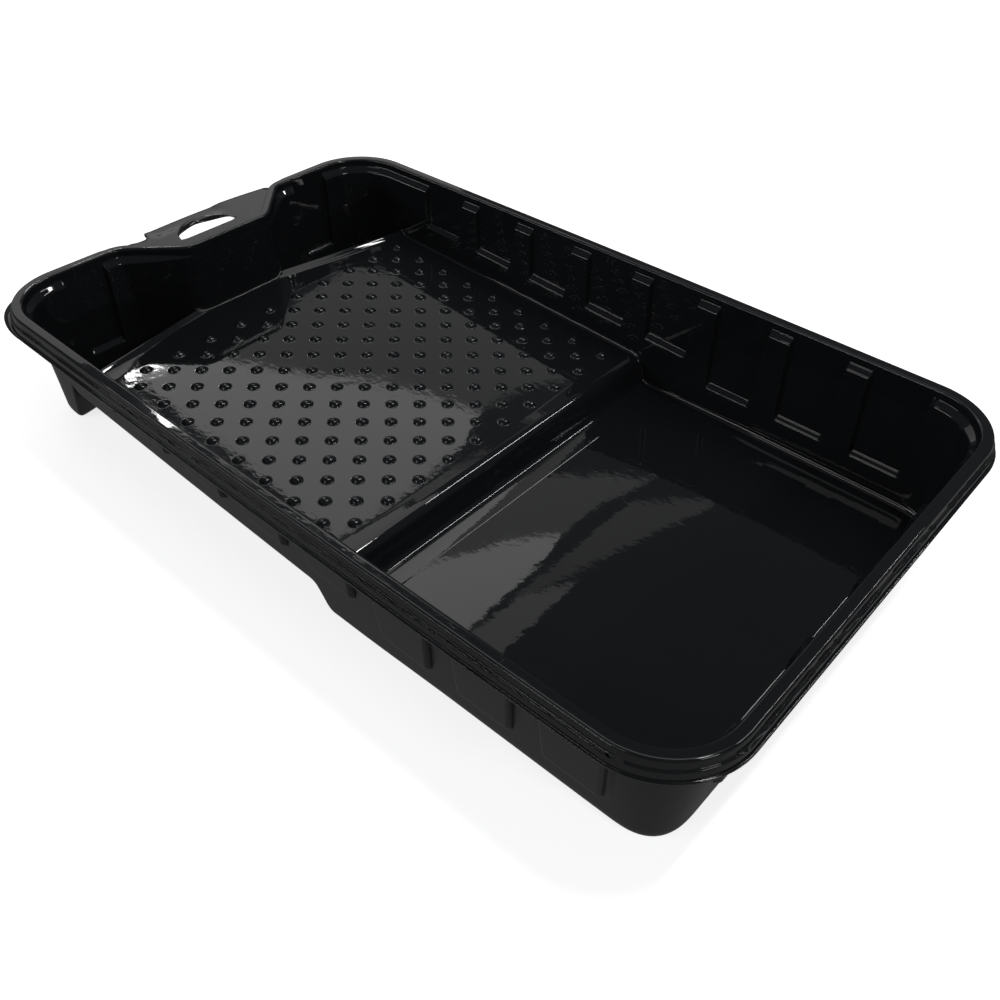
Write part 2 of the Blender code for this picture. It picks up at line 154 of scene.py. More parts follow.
# Bed
RAMP_Z = 0.0168
RAMP_X = 0.0113
RAMP_SLOPE = 0.0477
NOSE = (0.02675, 0.0042, 10)  # x, reach of its curve, steps
STEP_FOOT = (0.03385, 0.0030, 7)
FIELD_HALF = 0.1152  # half width of the raised field of the ramp
FIELD_DROP = 0.00035
FIELD_FADE = 0.004
FIELD_START = 0.0045  # its sides start this far from the ridge
FIELD_STEPS = 40
EDGE_LINES = (0.0, 0.0004, 0.0008, 0.0012)
WELL_FIELD = (STEP_END, LIP_DEEP - 0.0165, 0.1120, 0.013)  # near x, far x, half width, radius
WELL_RISE = 0.0003
RIDGE_X = -0.1865
RIDGE_SWEEP = 0.170
RIDGE_FLAT = 0.019
RIDGE_RISE = 0.0026
RIDGE_HALF = 0.1235
RIDGE_STEPS = 80
FOOT_DROP = 0.0277  # usual height of the ridge over the foot floor
RIDGE_CORNERS = (
    (-0.0030, 0.0, 0, 0),
    (0.0, 0.0, 0.0011, 4),
    (0.0028, RIDGE_RISE, 0.0006, 3),
    (0.0040, RIDGE_RISE, 0.0006, 3),
    (0.0128, RIDGE_RISE - FOOT_DROP, 0.0030, 6),
    (0.0200, RIDGE_RISE - FOOT_DROP, 0, 0),
)  # (distance behind the field of the ramp, height over the ramp, reach, steps)

# Dimples
DIMPLE_PITCH = 0.01075
DIMPLE_COLS = 10
DIMPLE_ROWS = 17
DIMPLE_SIDES = 24
DIMPLE_R = 0.0031
DIMPLE_H = 0.0019
DIMPLE_FILLET = 0.0007
DIMPLE_RING = 0.0043  # plan circle round each dimple
DIMPLE_FLAT = 0.00015
DIMPLE_TUCK = 0.35

# Hang tab. The points of its edge and its slot were measured in the photograph by a
# separate script, then rounded and changed by hand
TAB_EDGE = (
    (0.0042, 0.0575),
    (0.0020, 0.0400),
    (0.0008, 0.0240),
    (0.0002, 0.0120),
    (0.0, 0.0),
    (0.0005, -0.0200),
    (0.0013, -0.0290),
    (0.0030, -0.0312),
    (0.0075, -0.0325),
    (0.0092, -0.0350),
    (0.0088, -0.0400),
    (0.0075, -0.0440),
    (0.0078, -0.0490),
)  # (distance inside the outermost point, y)
SLOT_BACK_X = -0.2086
SLOT_BACK_Y = 0.0165
SLOT_ARC = ((-0.2098, 0.0200), (-0.2176, 0.0180), (-0.2236, 0.0132), (-0.2276, 0.0068), (-0.2288, 0.0))
SLOT_CHEVRON = ((-0.2098, 0.0198), (-0.2162, 0.0172), (-0.2210, 0.0118), (-0.2240, 0.0060), (-0.2254, 0.0))
SLOT_TURN = 0.0022  # depth of the turned-down side
SLOT_TURN_RUN = 0.0035  # it is that deep where it is at least this wide
SLOT_TURN_STEPS = 7
SLOT_TURN_ROUND = 0.85  # share of its width that follows a sine
SLOT_TURN_EVEN = 0.15  # share that grows evenly
DISH_X = -0.2195
DISH_DROP = 0.0009
DISH_RUN = 0.010
DISH_MIDDLE = -0.004
DISH_HALF = 0.0290
DISH_FADE = 0.009
TAB_GRID = 0.0015
TAB_GRID_START = 0.6  # steps from the outermost point to the first row
TAB_GRID_HALF = 0.0570
TAB_GRID_ROWS = 29
TAB_GRID_COLS = 76
TAB_GRID_CLEAR = 0.0009


def smooth(share):
    """An even rise from 0 to 1."""
    share = min(1.0, max(0.0, share))
    return share * share * (3 - 2 * share)


def lerp(a, b, share):
    """The value a share of the way from a to b."""
    return a + (b - a) * share


def rounded(corners, support=0.0003):
    """Points of a line through (u, v, reach, steps) corners, each turned into a curve."""
    line = []
    for k, (u, v, reach, steps) in enumerate(corners):
        here = Vector((u, v))
        if not steps:
            line.append(here)
            continue
        back = Vector(corners[k - 1][:2]) - here
        ahead = Vector(corners[k + 1][:2]) - here
        start = min(reach, 0.45 * back.length)
        end = min(reach, 0.45 * ahead.length)
        back.normalize()
        ahead.normalize()
        line.append(here + back * (start + min(support, start * 0.2)))
        for i in range(steps + 1):
            t = i / steps
            line.append(here + back * start * (1 - t) ** 2 + ahead * end * t * t)
        line.append(here + ahead * (end + min(support, end * 0.2)))
    return line


def rounded_loop(corners):
    """A closed plan loop through (x, y, radius, steps) corners, each turned into an arc."""
    loop = []
    count = len(corners)
    for i, (x, y, radius, steps) in enumerate(corners):
        here = Vector((x, y))
        back = (Vector(corners[i - 1][:2]) - here).normalized()
        ahead = (Vector(corners[(i + 1) % count][:2]) - here).normalized()
        half = back.angle(ahead) / 2
        reach = radius / math.tan(half)
        start = here + back * reach
        end = here + ahead * reach
        centre = here + (back + ahead).normalized() * (radius / math.sin(half))
        first = math.atan2(start.y - centre.y, start.x - centre.x)
        last = math.atan2(end.y - centre.y, end.x - centre.x)
        turn = (last - first + math.pi) % (2 * math.pi) - math.pi
        for k in range(steps + 1):
            angle = first + turn * k / steps
            loop.append(centre + radius * Vector((math.cos(angle), math.sin(angle))))
    return loop


def curve_through(places, steps):
    """A smooth line through plan points."""
    points = [Vector(p) for p in places]
    line = []
    for k in range(len(points) - 1):
        a, b = points[k], points[k + 1]
        before = points[k - 1] if k else a * 2 - b
        after = points[k + 2] if k + 2 < len(points) else b * 2 - a
        for i in range(steps):
            t = i / steps
            line.append(
                0.5
                * (
                    2 * a
                    + (b - before) * t
                    + (2 * before - 5 * a + 4 * b - after) * t * t
                    + (3 * a - before - 3 * b + after) * t**3
                )
            )
    return line + [points[-1]]


def bowed(point):
    """The long sides bow outwards a little."""
    share = max(0.0, 1 - ((point.x - BOW_MIDDLE) / BOW_REACH) ** 2)
    return Vector((point.x, point.y * (1 + LIP_BOW * share)))


def lip_loop():
    """Plan of the lip before its long sides are bowed."""
    right = [
        (LIP_DEEP, LIP_HALF, CORNER_R, CORNER_STEPS),
        (LIP_HEAD, LIP_HALF, CORNER_R, CORNER_STEPS),
        (LIP_HEAD, JOG_OUTER, JOG_OUTER_R, JOG_STEPS),
        (JOG_X, JOG_INNER, JOG_INNER_R, JOG_STEPS),
    ]
    left = [(x, -y, radius, steps) for x, y, radius, steps in reversed(right)]
    return rounded_loop(right + left)


# --- the bed of the tray as a height over any place


def ramp_z(x):
    """Height of the ramp."""
    return RAMP_Z - RAMP_SLOPE * (x - RAMP_X)


GROUND = rounded(
    (
        (-0.2200, ramp_z(-0.2200), 0, 0),
        (NOSE[0], ramp_z(NOSE[0]), NOSE[1], NOSE[2]),
        (STEP_FOOT[0], WELL_Z, STEP_FOOT[1], STEP_FOOT[2]),
        (0.3000, WELL_Z, 0, 0),
    )
)
RIDGE = rounded(RIDGE_CORNERS)


def profile_at(profile, place):
    """Straight-line reading of a (place, value) profile."""
    for here, ahead in zip(profile, profile[1:]):
        if place <= ahead.x:
            return lerp(here.y, ahead.y, (place - here.x) / (ahead.x - here.x))
    return profile[-1].y


def ridge_x(y):
    """Where the field of the ramp ends at the head."""
    return RIDGE_X + RIDGE_SWEEP * max(0.0, abs(y) - RIDGE_FLAT)


def field_share(point):
    """1 on the raised field of the well floor, 0 round its edge."""
    near, far, half, radius = WELL_FIELD
    across = abs(point.y) - half + radius
    along = abs(point.x - (near + far) / 2) - (far - near) / 2 + radius
    outside = math.hypot(max(0.0, across), max(0.0, along)) + min(0.0, max(across, along)) - radius
    return smooth(-outside / EDGE_LINES[-1])


def bed_z(point):
    """Height of the bed of the tray."""
    x, y = point.x, abs(point.y)
    if x > STEP_FOOT[0]:
        return profile_at(GROUND, x) + WELL_RISE * field_share(point)
    behind = ridge_x(y) - x
    fade = smooth((NOSE[0] + FIELD_FADE - x) / FIELD_FADE) * smooth(-behind / FIELD_FADE)
    drop = FIELD_DROP * fade * smooth((y - FIELD_HALF) / EDGE_LINES[-1])
    if behind <= RIDGE[0].x:
        return profile_at(GROUND, x) - drop
    over = profile_at(RIDGE, behind)
    if behind <= 0 or over >= RIDGE_RISE * 0.999:
        return ramp_z(max(x, ridge_x(y))) + over - drop
    front = ramp_z(ridge_x(y))
    if behind < RIDGE_CORNERS[3][0]:
        return front + over
    share = (RIDGE_RISE - over) / FOOT_DROP
    return lerp(front + RIDGE_RISE, WELL_Z, share)


# --- stations round the lip


def panels_on(side):
    """The panels of one side as (middle, half width) along it."""
    if side == "long":
        return [(SIDE_FIRST + SIDE_PITCH * k, PANEL_W / 2) for k in range(SIDE_PANELS)]
    if side == "deep":
        middle = (END_PANELS - 1) / 2
        return [(END_PITCH * (k - middle), END_PANEL_W / 2) for k in range(END_PANELS)]
    if side == "head":
        return [(sign * HEAD_PANEL_Y, HEAD_PANEL_W / 2) for sign in (-1, 1)]
    return []


def panel_share(side, place):
    """How far a place is on a panel, 0 to 1."""
    best = 0.0
    for middle, half in panels_on(side):
        best = max(best, 1 - smooth((abs(place - middle) - half) / PANEL_EDGE))
    return best


def panel_lean(side, place):
    """How upright lines lean at a place, -1 to 1: outwards at both sides of every panel."""
    knots = []
    for middle, half in panels_on(side):
        knots += [(middle - half, -1.0), (middle + half, 1.0)]
    if not knots:
        return 0.0
    knots.sort()
    knots = [(knots[0][0] - LEAN_FADE, 0.0), *knots, (knots[-1][0] + LEAN_FADE, 0.0)]
    if side == "head":
        between = [(knots[2][0] + LEAN_FADE, 0.0), (knots[3][0] - LEAN_FADE, 0.0)]
        knots = knots[:3] + between + knots[3:]
    if place <= knots[0][0] or place >= knots[-1][0]:
        return 0.0
    return profile_at([Vector(knot) for knot in knots], place)


def side_between(here, ahead):
    """The side that a straight run of the lip is on, and the axis it runs along."""
    middle = (here + ahead) / 2
    if abs(middle.y) > LIP_HALF - SIDE_SLACK:
        return "long", 0
    if middle.x > LIP_DEEP - SIDE_SLACK:
        return "deep", 1
    if middle.x < LIP_HEAD + SIDE_SLACK:
        return "head", 1
    return "jog", 1


def stops():
    """Places along each side where the walls or the bed bend."""
    made = {"long": [], "deep": [], "head": [], "jog": []}
    for side, places in made.items():
        for middle, half in panels_on(side):
            for share in (-0.3, -0.1, 0.1, 0.26, 0.42, 0.58, 0.74, 0.9, 1.1, 1.3):
                reach = half + share * PANEL_EDGE
                places += [middle - reach, middle + reach]
    made["long"] += [p.x for p in GROUND[1:-1]]
    made["long"] += [ridge_x(LIP_HALF - 0.0075) - p.x for p in RIDGE[:-1]]
    made["long"] += [STEP_END + gap for gap in EDGE_LINES]
    return made


class Station:
    """One place on the lip."""

    def __init__(self, point, side="", place=0.0):
        self.flat = point
        self.lip = bowed(point)
        self.side = side
        self.share = panel_share(side, place)
        self.lean = panel_lean(side, place)
        self.normal = None


def stations():
    """Lip stations all round, counter-clockwise."""
    loop = lip_loop()
    wanted = stops()
    made = []
    for i, here in enumerate(loop):
        ahead = loop[(i + 1) % len(loop)]
        made.append(Station(here))
        length = (ahead - here).length
        if length < STRAIGHT_MIN:
            continue
        side, axis = side_between(here, ahead)
        run = ahead[axis] - here[axis]
        shares = [(place - here[axis]) / run for place in wanted[side]]
        inside = [0.0]
        for share in sorted(shares):
            if (share - inside[-1]) * length > STOP_GAP and (1 - share) * length > STOP_END_GAP:
                inside.append(share)
        inside.append(1.0)
        for first, last in zip(inside, inside[1:]):
            parts = max(1, math.ceil((last - first) * length / STATION_GAP))
            for part in range(parts):
                along = lerp(first, last, part / parts)
                if along > 0:
                    point = here.lerp(ahead, along)
                    made.append(Station(point, side, point[axis]))
    for i, station in enumerate(made):
        back = (station.flat - made[i - 1].flat).normalized()
        ahead = (made[(i + 1) % len(made)].flat - station.flat).normalized()
        along = (back + ahead).normalized()
        station.normal = Vector((along.y, -along.x))
    return made


# --- one section of rim and wall


def jog_share(lip):
    """1 on the wall behind the hang tab, 0 on every other wall."""
    if lip.x > CUT_HEAD or abs(lip.y) > JOG_OUTER + JOG_OUTER_R:
        return 0.0
    return 1 - smooth((abs(lip.y) - JOG_FULL) / JOG_FADE)


def rib_inset(z, jog, corner=0.0):
    """How far inside the lip the wall is between its panels."""
    plain = RIB_INSET + (RIB_DRAFT - CORNER_EASE * corner) * (SHELF_Z - z)
    return lerp(plain, JOG_INSET + JOG_DRAFT * (SHELF_Z - z), jog)


def corner_share(normal):
    """1 in the middle of a main corner, 0 along the sides."""
    return (2 * normal.x * normal.y) ** 2


def panel_inset(z):
    """How far inside the lip the wall is on a panel."""
    return PANEL_INSET + PANEL_DRAFT * (PANEL_TOP_Z - z)


def ledge_z(station):
    """Height of the ledge under a panel, which follows the ramp along the long sides."""
    if station.side == "long" and station.lip.x < LEDGE_CHANGE_X:
        return ramp_z(station.lip.x) + LEDGE_OVER_RAMP
    return LEDGE_WELL_Z


def base_reach(lip, jog):
    """Size of the fillet at the foot of the wall."""
    reach = BASE_R
    if lip.x > STEP_FOOT[0]:
        reach = lerp(BASE_R, BASE_R_WELL, smooth((lip.x - BASE_SWELL_X) / BASE_SWELL_RUN))
    return lerp(reach, BASE_R_JOG, jog)


def rim_corners(lip, normal):
    """Corners of the rim's section at one station."""
    tabbed = 0.0
    if lip.x < CUT_HEAD:
        tabbed = 1 - smooth((abs(lip.y) - JOG_END) / RIM_CHANGE)
    corners = []
    for plain, beside in zip(RIM_CORNERS, JOG_CORNERS):
        out, drop = (lerp(a, b, tabbed) for a, b in zip(plain[:2], beside[:2]))
        if plain is RIM_CORNERS[0]:
            out += FLANGE_WIDE * max(0.0, normal.dot(FLANGE_WAY)) ** 6
        corners.append((-out, LAND_Z - drop, lerp(plain[2], beside[2], tabbed), plain[3]))
    return corners


def column(station):
    """Points of the section at one station, from the trimmed edge down to the bed."""
    lip, normal = station.lip, station.normal
    jog = jog_share(lip)
    reach = base_reach(lip, jog)
    corner = corner_share(normal) if abs(lip.y) > JOG_OUTER + JOG_OUTER_R else 0.0
    base = WELL_Z
    for _turn in range(4):
        foot = rib_inset(base, jog, corner)
        base = bed_z(lip - normal * (foot + reach))
    end = foot + reach + BED_STRIP
    end_z = bed_z(lip - normal * end)
    ledge = max(ledge_z(station), base + reach + 3 * LEDGE_HALF)
    ledge_top = ledge + LEDGE_HALF
    ledge_foot = ledge - LEDGE_HALF

    top = [*rim_corners(lip, normal), (panel_inset(SHELF_TOP_Z), SHELF_TOP_Z, SHELF_EASE, 5)]
    ground = [(foot, base, reach, 8), (end, end_z, 0, 0)]
    rib = [
        *top,
        (rib_inset(SHELF_Z, jog, corner), SHELF_Z, CREASE_EASE, 6),
        (rib_inset(ledge_top, jog, corner), ledge_top, RIB_EASE, 5),
        (rib_inset(ledge_foot, jog, corner), ledge_foot, RIB_EASE, 5),
        *ground,
    ]
    panel = [
        *top,
        (panel_inset(SHELF_Z), SHELF_Z, CREASE_EASE, 6),
        (panel_inset(ledge_top), ledge_top, CREASE_EASE, 5),
        (rib_inset(ledge_foot, jog), ledge_foot, CREASE_EASE, 5),
        *ground,
    ]
    line = rounded(rib)
    if station.share > 0:
        line = [a.lerp(b, station.share) for a, b in zip(line, rounded(panel))]

    tangent = Vector((-normal.y, normal.x))
    if tangent[0 if station.side == "long" else 1] < 0:
        tangent.negate()
    points = []
    for inset, z in line:
        high = min(1.0, max(0.0, (z - ledge) / (SHELF_Z - ledge)))
        high *= smooth((LAND_Z - LAND_EDGE - z) / LAND_FADE) if inset > -LIP_MARGIN else 0.0
        place = lip - normal * inset + tangent * station.lean * PANEL_FLARE * high
        points.append((place.x, place.y, z))
    return points


# --- the sheet


class Surface:
    """Vertices and upward faces of the upper side of the sheet."""

    def __init__(self):
        self.points = []
        self.faces = []

    def add(self, point):
        self.points.append(tuple(point))
        return len(self.points) - 1


def add_sections(surface, ring):
    """Rim and walls. Returns the indices of the outer and the inner edge."""
    columns = [[surface.add(p) for p in column(station)] for station in ring]
    for here, ahead in zip(columns, columns[1:] + columns[:1]):
        for j in range(len(here) - 1):
            surface.faces.append((here[j], ahead[j], ahead[j + 1], here[j + 1]))
    return [c[0] for c in columns], [c[-1] for c in columns]


def nearest(outline, place):
    """Index of the outline's point nearest a place."""
    gaps = [(p - place).length for p in outline]
    return gaps.index(min(gaps))


def beside(outline, x, sign):
    """Index of the point of one long side of the outline that is nearest an x."""
    return min(range(len(outline)), key=lambda k: abs(outline[k].x - x) + (outline[k].y * sign < 0))


def inside_of(outline, place):
    """Whether a place is inside a closed outline."""
    found = False
    for i, here in enumerate(outline):
        before = outline[i - 1]
        if (here.y > place.y) != (before.y > place.y):
            cross = before.x + (place.y - before.y) * (here.x - before.x) / (here.y - before.y)
            if cross > place.x:
                found = not found
    return found


def ridge_line(outline, behind, sign):
    """One half of a line along the ridge, cut back to the outline, or None if it is too short."""
    inside = []
    for k in range(RIDGE_STEPS + 1):
        y = lerp(0.0, RIDGE_HALF, k / RIDGE_STEPS)
        place = Vector((ridge_x(y) - behind, y * sign))
        if inside_of(outline, place):
            inside.append(place)
    if len(inside) < 3:
        return None
    bend = Vector((RIDGE_X - behind, RIDGE_FLAT * sign))
    last = nearest(outline, inside[-1])
    if abs(inside[0].y) < 1e-6:
        return [inside[0], bend, last]
    first = nearest(outline, inside[0])
    if abs(bend.y) > abs(outline[first].y) + 0.001:
        return [first, bend, last]
    return [first, last]


def bed_lines(outline):
    """Lines across the bed where it bends, as lists of plan points or outline indices."""
    lines = []
    for fold in GROUND[1:-1]:
        lines.append([beside(outline, fold.x, sign) for sign in (-1, 1)])
    for fold in RIDGE[:-1]:
        for sign in (-1, 1):
            line = ridge_line(outline, fold.x, sign)
            if line:
                lines.append(line)
    near, far, half, radius = WELL_FIELD
    for gap in EDGE_LINES:
        ends = ((near + gap, -1), (far - gap, -1), (far - gap, 1), (near + gap, 1))
        loop = rounded_loop([(x, (half - gap) * sign, radius - gap, 8) for x, sign in ends])
        lines.append(loop + loop[:1])
    for gap in EDGE_LINES:
        for sign in (-1, 1):
            y = (FIELD_HALF + gap) * sign
            start = ridge_x(y) + FIELD_START
            end = NOSE[0] + FIELD_FADE
            shares = [k / FIELD_STEPS for k in range(FIELD_STEPS + 1)]
            lines.append([Vector((lerp(start, end, share), y)) for share in shares])
    return lines


def dimple_centres():
    """Plan places of the dimples: every other crossing of a square lattice."""
    centres = []
    for i in range(1 - DIMPLE_ROWS, 1):
        for j in range(-DIMPLE_COLS, DIMPLE_COLS + 1):
            x = RAMP_X + i * DIMPLE_PITCH
            y = j * DIMPLE_PITCH
            if (i + j) % 2 == 0 and x - DIMPLE_R > ridge_x(y) + 0.003:
                centres.append(Vector((x, y)))
    return centres


def lattice_cell(place):
    """The crossing of the dimple lattice that is nearest a place."""
    return round((place.x - RAMP_X) / DIMPLE_PITCH), round(place.y / DIMPLE_PITCH)


def dimple_rings():
    """Rings of a dimple from the outside in, as (radius, height)."""
    ball = (DIMPLE_R**2 + DIMPLE_H**2) / (2 * DIMPLE_H)
    foot = math.asin(DIMPLE_R / ball)
    rings = [(DIMPLE_RING, 0.0), (DIMPLE_R + DIMPLE_FILLET + DIMPLE_FLAT, 0.0)]
    for share in (0.0, 0.33, 0.66, 1.0):
        radius = DIMPLE_R + DIMPLE_FILLET * ((1 - share) ** 2 - DIMPLE_TUCK * share * share)
        rings.append((radius, DIMPLE_FILLET * DIMPLE_TUCK * share * share * math.tan(foot)))
    edge_radius, edge_height = rings[-1]
    for share in (0.86, 0.70, 0.52, 0.34, 0.17):
        radius = edge_radius * share
        height = math.sqrt(ball**2 - radius**2) - (ball - DIMPLE_H)
        rings.append((radius, max(height, edge_height)))
    return rings


def add_dimple(surface, centre, outer, circle, rings):
    """One dimple inside its outermost ring, which is there already."""
    for radius, height in rings[1:]:
        inner = []
        for way in circle:
            place = centre + way * radius
            inner.append(surface.add((place.x, place.y, ramp_z(place.x) + height)))
        for k in range(DIMPLE_SIDES):
            ahead = (k + 1) % DIMPLE_SIDES
            surface.faces.append((outer[k], outer[ahead], inner[ahead], inner[k]))
        outer = inner
    peak = surface.add((centre.x, centre.y, ramp_z(centre.x) + DIMPLE_H))
    for k in range(DIMPLE_SIDES):
        surface.faces.append((outer[k], outer[(k + 1) % DIMPLE_SIDES], peak))


def add_bed(surface, rim_of_bed):
    """The ramp with its dimples, the step, the well floor and the floors of the feet."""
    outline = [Vector(surface.points[k][:2]) for k in rim_of_bed]
    points = list(outline)
    edges = []
    for line in bed_lines(outline):
        indices = []
        for entry in line:
            if isinstance(entry, Vector):
                points.append(entry)
                indices.append(len(points) - 1)
            else:
                indices.append(entry)
        edges += list(zip(indices, indices[1:]))
    centres = dimple_centres()
    rings = dimple_rings()
    circle = []
    for k in range(DIMPLE_SIDES):
        turn = 2 * math.pi * k / DIMPLE_SIDES
        circle.append(Vector((math.cos(turn), math.sin(turn))))
    first_ring = len(points)
    for centre in centres:
        first = len(points)
        points += [centre + way * DIMPLE_RING for way in circle]
        edges += [(first + k, first + (k + 1) % DIMPLE_SIDES) for k in range(DIMPLE_SIDES)]

    made = delaunay_2d_cdt(points, edges, [list(range(len(outline)))], 1, 1e-8)
    places, faces, sources_of = made[0], made[2], made[3]
    index = []
    ring_index = {}
    for place, sources in zip(places, sources_of):
        old = [k for k in sources if k < len(outline)]
        if old:
            index.append(rim_of_bed[old[0]])
            continue
        new = surface.add((place.x, place.y, bed_z(place)))
        index.append(new)
        for k in sources:
            if k >= first_ring:
                ring_index[k] = new

    centre_of = {lattice_cell(centre): centre for centre in centres}
    for face in faces:
        middle = sum((places[k] for k in face), Vector((0, 0))) / len(face)
        centre = centre_of.get(lattice_cell(middle))
        if centre is not None and (middle - centre).length < DIMPLE_RING:
            if all((places[k] - centre).length < DIMPLE_RING * 1.001 for k in face):
                continue
        surface.faces.append(tuple(index[k] for k in face))
    for number, centre in enumerate(centres):
        first = first_ring + number * DIMPLE_SIDES
        outer = [ring_index[first + k] for k in range(DIMPLE_SIDES)]
        add_dimple(surface, centre, outer, circle, rings)


def tab_z(point):
    """Height of the hang tab: a plate with a dished zone outside its slot."""
    depth = smooth((DISH_X - point.x) / DISH_RUN)
    across = smooth((DISH_HALF - abs(point.y - DISH_MIDDLE)) / DISH_FADE)
    return TAB_Z - DISH_DROP * depth * across


def both_halves(half):
    """A smooth line through plan points that end at y = 0, and through their mirror images."""
    return curve_through([*half, *[(x, -y) for x, y in reversed(half[:-1])]], 4)


def tab_grid(border, hole):
    """Places over the plate of the tab, clear of its border and of its hole."""
    places = []
    for i in range(TAB_GRID_ROWS):
        for j in range(TAB_GRID_COLS):
            place = Vector((TAB_OUT + TAB_GRID * (i + TAB_GRID_START), -TAB_GRID_HALF + TAB_GRID * j))
            if not inside_of(border, place) or inside_of(hole, place):
                continue
            if min((p - place).length for p in border + hole) > TAB_GRID_CLEAR:
                places.append(place)
    return places


def add_slot_turn(surface, arc, low, first_row):
    """The outer side of the slot, which turns down from its arc to a lower edge."""
    rows = [first_row]
    for row in range(1, SLOT_TURN_STEPS + 1):
        angle = math.pi / 2 * row / SLOT_TURN_STEPS
        across = math.sin(angle) * SLOT_TURN_ROUND + SLOT_TURN_EVEN * row / SLOT_TURN_STEPS
        line = []
        for upper, lower in zip(arc, low):
            place = upper.lerp(lower, across)
            share = smooth((upper - lower).length / SLOT_TURN_RUN)
            drop = SLOT_TURN * (1 - math.cos(angle)) * share
            line.append(surface.add((place.x, place.y, tab_z(upper) - drop)))
        rows.append(line)
    for here, ahead in zip(rows, rows[1:]):
        for k in range(len(arc) - 1):
            surface.faces.append((here[k], here[k + 1], ahead[k + 1], ahead[k]))


def add_tab(surface, ring, outer_edge):
    """The hang tab with its hand slot, whose outer side turns down."""
    inner = []
    for station, index in zip(ring, outer_edge):
        if station.lip.x < CUT_HEAD and abs(station.lip.y) < JOG_END:
            inner.append(index)
    inner.sort(key=lambda k: surface.points[k][1])
    outline = [Vector(surface.points[k][:2]) for k in inner]
    edge = curve_through([(TAB_OUT + gap, y) for gap, y in TAB_EDGE], 4)
    arc = both_halves(SLOT_ARC)
    low = both_halves(SLOT_CHEVRON)
    back = [Vector((SLOT_BACK_X, y * SLOT_BACK_Y)) for y in (-1, -0.5, 0, 0.5, 1)]
    hole = arc + back
    border = outline + edge
    first_hole = len(border)
    count = len(hole)
    edges = [(first_hole + k, first_hole + (k + 1) % count) for k in range(count)]
    points = border + hole + tab_grid(border, hole)

    made = delaunay_2d_cdt(points, edges, [list(range(len(border)))], 1, 1e-8)
    places, faces, sources_of = made[0], made[2], made[3]
    index = []
    hole_index = {}
    for place, sources in zip(places, sources_of):
        old = [k for k in sources if k < len(inner)]
        if old:
            index.append(inner[old[0]])
            continue
        new = surface.add((place.x, place.y, tab_z(place)))
        index.append(new)
        for k in sources:
            if first_hole <= k < first_hole + count:
                hole_index[k - first_hole] = new
    for face in faces:
        middle = sum((places[k] for k in face), Vector((0, 0))) / len(face)
        if not inside_of(hole, middle):
            surface.faces.append(tuple(index[k] for k in face))
    add_slot_turn(surface, arc, low, [hole_index[k] for k in range(len(arc))])


def sheet_mesh(surface):
    """The sheet as a closed body: its upper side, its underside and the trimmed edges."""
    upper = bpy.data.meshes.new("upper")
    upper.from_pydata(surface.points, [], surface.faces)
    upper.update()
    normals = np.zeros(len(surface.points) * 3)
    upper.vertices.foreach_get("normal", normals)
    points = np.array(surface.points)
    under = points - normals.reshape(-1, 3) * SHEET
    bpy.data.meshes.remove(upper)
    count = len(points)
    faces = list(surface.faces)
    sides = {}  # every side of every face in its own direction, kept in order
    for face in surface.faces:
        sides.update(dict.fromkeys(zip(face, face[1:] + face[:1])))
        faces.append(tuple(k + count for k in reversed(face)))
    for a, b in sides:
        if (b, a) not in sides:
            faces.append((b, a, a + count, b + count))
    mesh = bpy.data.meshes.new("tray_sheet")
    mesh.from_pydata(np.vstack((points, under)).tolist(), [], faces)
    mesh.polygons.foreach_set("use_smooth", [True] * len(mesh.polygons))
    under_side = mesh.attributes.new("underside", "FLOAT", "POINT")
    under_side.data.foreach_set("value", np.repeat((0.0, 1.0), count))
    mesh.update()
    return mesh


# --- finish


class Graph:
    """Short way to write a node material."""

    def __init__(self, name):
        self.material = bpy.data.materials.new(name)
        self.material.use_nodes = True
        self.tree = self.material.node_tree
        self.shader = self.tree.nodes["Principled BSDF"]

    def node(self, kind, **settings):
        made = self.tree.nodes.new(kind)
        for key, value in settings.items():
            setattr(made, key, value)
        return made

    def link(self, source, target):
        self.tree.links.new(source, target)

    def noise(self, coordinates, scale, detail, roughness=0.5, distortion=0.0):
        made = self.node("ShaderNodeTexNoise")
        made.inputs["Scale"].default_value = scale
        made.inputs["Detail"].default_value = detail
        made.inputs["Roughness"].default_value = roughness
        made.inputs["Distortion"].default_value = distortion
        self.link(coordinates, made.inputs["Vector"])
        return made.outputs["Fac"]

    def ranged(self, value, low, high, to_low, to_high):
        made = self.node("ShaderNodeMapRange")
        for key, number in (
            ("From Min", low),
            ("From Max", high),
            ("To Min", to_low),
            ("To Max", to_high),
        ):
            made.inputs[key].default_value = number
        self.link(value, made.inputs["Value"])
        return made.outputs["Result"]

    def math(self, operation, first, second):
        made = self.node("ShaderNodeMath", operation=operation)
        for socket, value in zip(made.inputs, (first, second)):
            if isinstance(value, (int, float)):
                socket.default_value = value
            else:
                self.link(value, socket)
        return made.outputs["Value"]

    def stretched(self, coordinates, scale, turn=0.0):
        made = self.node("ShaderNodeMapping")
        made.inputs["Scale"].default_value = scale
        made.inputs["Rotation"].default_value = (0, 0, turn)
        self.link(coordinates, made.inputs["Vector"])
        return made.outputs["Vector"]


